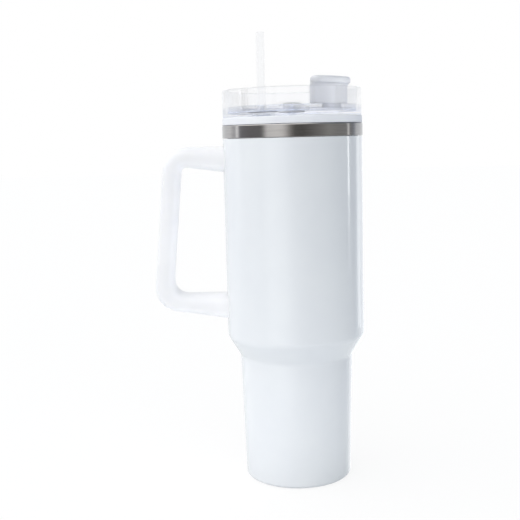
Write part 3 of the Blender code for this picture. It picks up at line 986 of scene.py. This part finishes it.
# ---------------------------------------------------------------- studio, metres
FLOOR_HALF, FLOOR_DROP = 6, -0.0004
WHITE = (1.0, 1.0, 1.0)


def floor_material():
    """Near-white to the camera; to other rays a toned sheet with painted shade, darker towards +X.
    """
    nodes = new_material("pale_floor")
    tone = nodes.noise(nodes.place(), scale=3.0, detail=2.0)
    near = nodes.principled(
        Base_Color=nodes.mix(tone, srgb(250, 250, 251), srgb(253, 253, 253)),
        Roughness=0.7,
        Specular_IOR_Level=0.2,
    )
    glow = nodes.add("ShaderNodeEmission", {"Color": (*WHITE, 1.0), "Strength": 1.0}).outputs[0]
    bright = nodes.mix_shaders(0.86, near, glow)
    x, y, _ = nodes.split(nodes.place())
    reach = nodes.length(x, y)
    # painted shade: the sheet is darker towards +X, so less light bounces onto that side of the
    # cup
    sheet = nodes.mix(
        nodes.smooth(x, over=(0.10, 0.55)), srgb(207, 210, 213), srgb(125, 135, 147)
    )
    # painted light paler round the cup, then a painted shadow darker again close under it
    for over, colour in (((0.10, 0.34), srgb(243, 244, 246)), ((0.05, 0.13), srgb(206, 208, 211))):
        sheet = nodes.mix(nodes.smooth(reach, over, to=(1.0, 0.0)), sheet, colour)
    # a glowing ring round the cup, stronger towards +X
    bounce = nodes.times(
        nodes.smooth(reach, over=(0.08, 0.14)),
        nodes.smooth(reach, over=(0.20, 0.36), to=(1.0, 0.0)),
    )
    bounce = nodes.times(bounce, nodes.smooth(x, over=(-0.05, 0.15), to=(0.20, 0.33)))
    far = nodes.principled(
        Base_Color=nodes.mix(nodes.times(tone, 0.06), sheet, WHITE),
        Roughness=0.8,
        Emission_Color=(0.95, 0.97, 1.0, 1.0),
        Emission_Strength=bounce,
    )
    camera_ray = nodes.add("ShaderNodeLightPath", {}).outputs["Is Camera Ray"]
    return nodes.out(nodes.mix_shaders(camera_ray, far, bright))


floor_mesh = bpy.data.meshes.new("studio_floor")
floor_corners = [
    (x * FLOOR_HALF, y * FLOOR_HALF, FLOOR_DROP) for x, y in ((-1, -1), (1, -1), (1, 1), (-1, 1))
]
floor_mesh.from_pydata(floor_corners, [], [(0, 1, 2, 3)])
floor = bpy.data.objects.new("studio_floor", floor_mesh)
scene.collection.objects.link(floor)
floor_mesh.materials.append(floor_material())
floor.visible_glossy = False

# (heading, r, g, b); heading 0 is the camera's side (-Y), 90 is +X, -90 is -X
HORIZON = (
    (-180, 0.86, 0.88, 0.90), (-140, 0.92, 0.94, 0.96), (-124, 1.00, 1.01, 1.03),
    (-114, 0.72, 0.73, 0.75), (-108, 0.62, 0.63, 0.66), (-99, 0.42, 0.43, 0.46),
    (-92, 0.26, 0.26, 0.28), (-75, 0.21, 0.205, 0.215), (-53, 0.20, 0.20, 0.205),
    (-48, 0.52, 0.52, 0.52), (-43, 1.00, 1.00, 1.00), (-27, 1.09, 1.09, 1.08),
    (-18, 1.02, 1.01, 1.00), (-13, 0.80, 0.79, 0.78), (-8, 0.48, 0.47, 0.46),
    (-3, 0.25, 0.24, 0.23), (2, 0.13, 0.125, 0.12), (14, 0.105, 0.10, 0.095),
    (28, 0.18, 0.175, 0.17), (43, 0.28, 0.275, 0.27), (59, 0.40, 0.40, 0.39),
    (76, 0.35, 0.35, 0.345), (104, 0.34, 0.345, 0.35), (112, 0.32, 0.335, 0.37),
    (118, 0.42, 0.45, 0.50), (125, 0.82, 0.85, 0.89), (150, 0.88, 0.90, 0.93),
    (180, 0.86, 0.88, 0.90),
)
ABOVE = (
    (-180, 0.90, 0.91, 0.93), (-120, 1.15, 1.15, 1.16), (-85, 1.75, 1.74, 1.73),
    (-20, 1.81, 1.81, 1.80), (20, 1.45, 1.46, 1.47), (50, 0.30, 0.35, 0.40),
    (110, 0.07, 0.11, 0.15), (150, 0.25, 0.30, 0.35), (180, 0.90, 0.91, 0.93),
)
ZENITH, GROUND = (1.17, 1.22, 1.24), (0.86, 0.89, 0.90)


def build_world():
    """Light by heading and height for reflections, and plain white for the camera."""
    world = bpy.data.worlds.new("studio")
    scene.world = world
    nodes = Nodes(world)
    x, y, z = nodes.split(nodes.add("ShaderNodeTexCoord", {}).outputs["Generated"])
    heading = nodes.math("ARCTAN2", x, nodes.times(y, -1.0))
    turn = nodes.plus(nodes.math("DIVIDE", heading, math.tau), 0.5)
    rise = nodes.times(nodes.math("ARCSINE", z), 180.0 / math.pi)
    level = nodes.heading_ramp(turn, HORIZON)
    above = nodes.heading_ramp(turn, ABOVE)

    def strip(centre, half, soft, foot):
        """An upright light strip, in degrees; foot is the rise over which it fades in."""
        degrees = nodes.times(heading, 180.0 / math.pi)
        away = nodes.math("ABSOLUTE", nodes.math("SUBTRACT", degrees, centre))
        band = nodes.smooth(away, over=(half, half + soft), to=(1.0, 0.0))
        return nodes.times(nodes.times(band, 0.75), nodes.smooth(rise, over=foot))

    strips = nodes.plus(
        strip(centre=-103.0, half=1.5, soft=4.5, foot=(-6.5, -1.5)),
        strip(centre=100.5, half=1.2, soft=2.2, foot=(-11.0, -2.5)),
    )
    strips = nodes.times(strips, nodes.smooth(rise, over=(25.0, 40.0), to=(1.0, 0.0)))
    lit = nodes.mix(nodes.smooth(rise, over=(6.0, 22.0)), level, above)
    lit = nodes.mix(nodes.smooth(rise, over=(50.0, 85.0)), lit, ZENITH)
    lit = nodes.mix(nodes.smooth(rise, over=(-14.0, -24.0)), lit, GROUND)
    lit = nodes.mix(1.0, lit, nodes.combine(strips, strips, strips), blend="ADD")
    rays = nodes.add("ShaderNodeLightPath", {}).outputs
    through = nodes.mix(nodes.times(rays["Is Transmission Ray"], 0.72), lit, WHITE)
    seen = nodes.mix(rays["Is Camera Ray"], through, WHITE)
    back = nodes.add("ShaderNodeBackground", {"Color": seen, "Strength": 1.0}).outputs[0]
    nodes.add("ShaderNodeOutputWorld", {"Surface": back})


build_world()

LAMP_DISTANCE = 3.0
LAMP_AIM = Vector((0.0, 0.0, 0.17))


def lamp(name, heading, rise, power, size, lit, diffuse=1.0, glossy=1.0, shadow=True):
    """A soft box at a heading and rise in degrees from the cup, that lights one piece."""
    data = bpy.data.lights.new(name, "AREA")
    data.shape = "RECTANGLE"
    data.size, data.size_y = size
    data.energy = power
    data.diffuse_factor, data.specular_factor = diffuse, glossy
    data.use_shadow = shadow
    made = bpy.data.objects.new(name, data)
    scene.collection.objects.link(made)
    turn, lift = math.radians(heading), math.radians(rise)
    away = Vector(
        (math.sin(turn) * math.cos(lift), -math.cos(turn) * math.cos(lift), math.sin(lift))
    )
    made.location = LAMP_AIM + away * LAMP_DISTANCE
    made.rotation_euler = away.to_track_quat("Z", "Y").to_euler()
    made.visible_camera = False
    receivers = bpy.data.collections.new("lit_by_" + name)
    receivers.objects.link(lit)
    made.light_linking.receiver_collection = receivers


# a narrow streak whose reflection fades down the wall: stacked lamps share their top rise
STREAK_TOP, STREAK_WIDTH = 26.0, 0.24
for k, (bottom, strength) in enumerate(((-2.0, 2.0), (-5.0, 0.85), (-9.0, 0.55))):
    tall = 2 * LAMP_DISTANCE * math.tan(math.radians((STREAK_TOP - bottom) / 2))
    lamp(
        "coat_streak_%d" % k,
        heading=99.2,
        rise=(bottom + STREAK_TOP) / 2,
        power=strength * tall,
        size=(STREAK_WIDTH, tall),
        lit=shell,
        diffuse=0.0,
    )
# broad lights behind the cup on the camera's right; then soft fills
for name, heading, rise, power, size in (
    ("coat_rim", 157.0, 0.0, 6.5, (2.3, 3.0)),
    ("coat_rim_edge", 130.0, 6.5, 4.6, (0.68, 2.15)),
):
    lamp(name, heading, rise, power, size, lit=shell, diffuse=0.0)
for name, heading, rise, power, lit in (
    ("grip_fill_right", 80.0, -12.0, 34.0, grip),
    ("grip_fill_below", -10.0, -75.0, 30.0, grip),
    ("grip_fill_left", -80.0, -10.0, 4.0, grip),
    ("tab_fill", 87.0, -14.0, 76.0, tab),
    ("ring_fill", 85.0, 0.0, 26.0, gasket),
):
    lamp(name, heading, rise, power, size=(3.0, 3.0), lit=lit, glossy=0.3, shadow=False)

# ---------------------------------------------------------------- camera and render
CAMERA_AT = (-0.02553, -0.6434, 0.2499)
PITCH, ROLL = 0.1372, 0.0253  # radians: downward tilt, turn about the line of sight

camera_data = bpy.data.cameras.new("camera")
camera = bpy.data.objects.new("camera", camera_data)
scene.collection.objects.link(camera)
forward = Vector((0.0, math.cos(PITCH), -math.sin(PITCH)))
up = Vector((0.0, math.sin(PITCH), math.cos(PITCH)))
right = Vector((1.0, 0.0, 0.0))
rolled_right = right * math.cos(ROLL) - up * math.sin(ROLL)
rolled_up = right * math.sin(ROLL) + up * math.cos(ROLL)
turned = Matrix((rolled_right, rolled_up, -forward)).transposed().to_4x4()
camera.matrix_world = Matrix.Translation(CAMERA_AT) @ turned
camera_data.sensor_width = 36.0
camera_data.lens = 61.2193846
camera_data.clip_start = 0.01
camera_data.clip_end = 50.0
scene.camera = camera
scene.view_settings.view_transform = "Standard"
scene.view_settings.look = "None"
scene.cycles.transparent_max_bounces = 24
scene.cycles.max_bounces = 16
scene.cycles.transmission_bounces = 14
